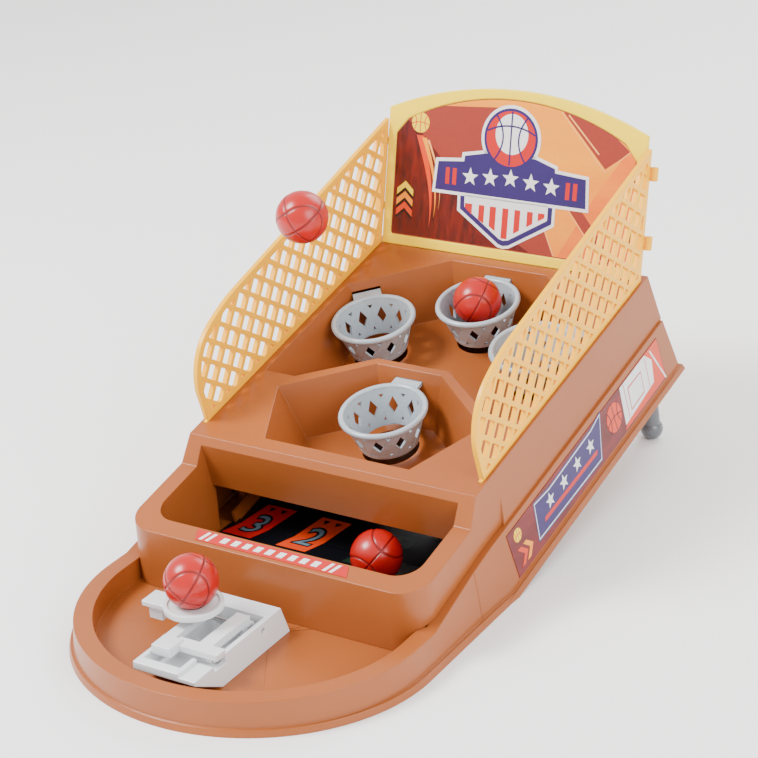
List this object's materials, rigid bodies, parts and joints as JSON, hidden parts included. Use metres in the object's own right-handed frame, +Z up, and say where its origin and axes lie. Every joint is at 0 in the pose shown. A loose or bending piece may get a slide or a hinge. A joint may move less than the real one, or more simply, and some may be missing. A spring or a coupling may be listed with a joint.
{
  "type": "basketball hoop machine",
  "caption": "Tabletop basketball game: sloping court with side nets, backboard, open baskets, ball return tray and a finger launcher with a ball cup.",
  "frame": {"origin": "middle of the whole object's box, on the surface it stands on", "axes": "+Z up, +Y from the player's side towards the backboard, +X to the player's right"},
  "size_m": [0.1818, 0.3486, 0.1841],
  "materials": {
    "orange_housing": "moulded burnt-orange ABS, soft gloss, fine grain",
    "yellow_plastic": "moulded yellow polypropylene, glossy",
    "basket_plastic": "pale blue-grey polypropylene, satin gloss",
    "ball_plastic": "red hollow ball with pebbled skin and dark seams",
    "white_plastic": "white ABS, glossy",
    "grey_plastic": "silver-grey moulded plastic, satin",
    "sticker_film": "printed vinyl film, satin",
    "steel": "zinc-plated steel"
  },
  "bodies": {
    "machine": {"base_tray": "orange_housing", "upper_housing": "orange_housing", "bottom_cover": "orange_housing", "return_ramp": "orange_housing", "score_sticker": "sticker_film", "ramp_sticker": "sticker_film", "rim_strip_sticker": "sticker_film", "backboard": "yellow_plastic", "backboard_sticker": "sticker_film", "basket_front": "basket_plastic", "basket_centre": "basket_plastic", "basket_left": "basket_plastic", "basket_right": "basket_plastic", "side_net_left": "yellow_plastic", "side_net_right": "yellow_plastic", "side_sticker_left": "sticker_film", "side_sticker_right": "sticker_film", "leg_pin_left": "steel", "leg_pin_right": "steel", "launcher_housing": "white_plastic", "launcher_pin": "steel", "launcher_spring": "steel", "rear_cover_screws": "steel", "nose_cover_screws": "steel", "launcher_screws": "steel"},
    "lever": {"launcher_lever": "white_plastic", "launcher_cup": "white_plastic"},
    "launcher_ball": {"launcher_ball": "ball_plastic"},
    "basket_ball": {"basket_ball": "ball_plastic"},
    "flying_ball": {"flying_ball": "ball_plastic"},
    "well_ball": {"well_ball": "ball_plastic"},
    "leg_left": {"leg_left": "grey_plastic"},
    "leg_right": {"leg_right": "grey_plastic"}
  },
  "joints": [
    {"name": "lever_press", "type": "hinge", "parent": "machine", "child": "lever", "pos_m": [-0.00275, -0.10747, 0.014], "axis": [1, 0, 0], "range_deg": [0, 6], "stiffness_Nm_per_rad": 0.25, "springref_deg": -28.65, "deforming": ["launcher_spring"]},
    {"name": "launcher_ball_lift", "type": "slide", "parent": "lever", "child": "launcher_ball", "axis": [0, 0, 1], "range_m": [0, 0.05]},
    {"name": "basket_ball_drop", "type": "slide", "parent": "machine", "child": "basket_ball", "axis": [0, 0.2147, -0.9767], "range_m": [0, 0.036]},
    {"name": "flying_ball_path", "type": "slide", "parent": "machine", "child": "flying_ball", "axis": [-0.1567, 0.7215, -0.6744], "range_m": [0, 0.09]},
    {"name": "well_ball_roll", "type": "slide", "parent": "machine", "child": "well_ball", "axis": [0, -1, 0], "range_m": [0, 0.024]},
    {"name": "leg_left_fold", "type": "hinge", "parent": "machine", "child": "leg_left", "pos_m": [-0.074, 0.16617, 0.03023], "axis": [-1, 0, 0], "range_deg": [0, 75]},
    {"name": "leg_right_fold", "type": "hinge", "parent": "machine", "child": "leg_right", "pos_m": [0.074, 0.16617, 0.03023], "axis": [-1, 0, 0], "range_deg": [0, 75]}
  ]
}
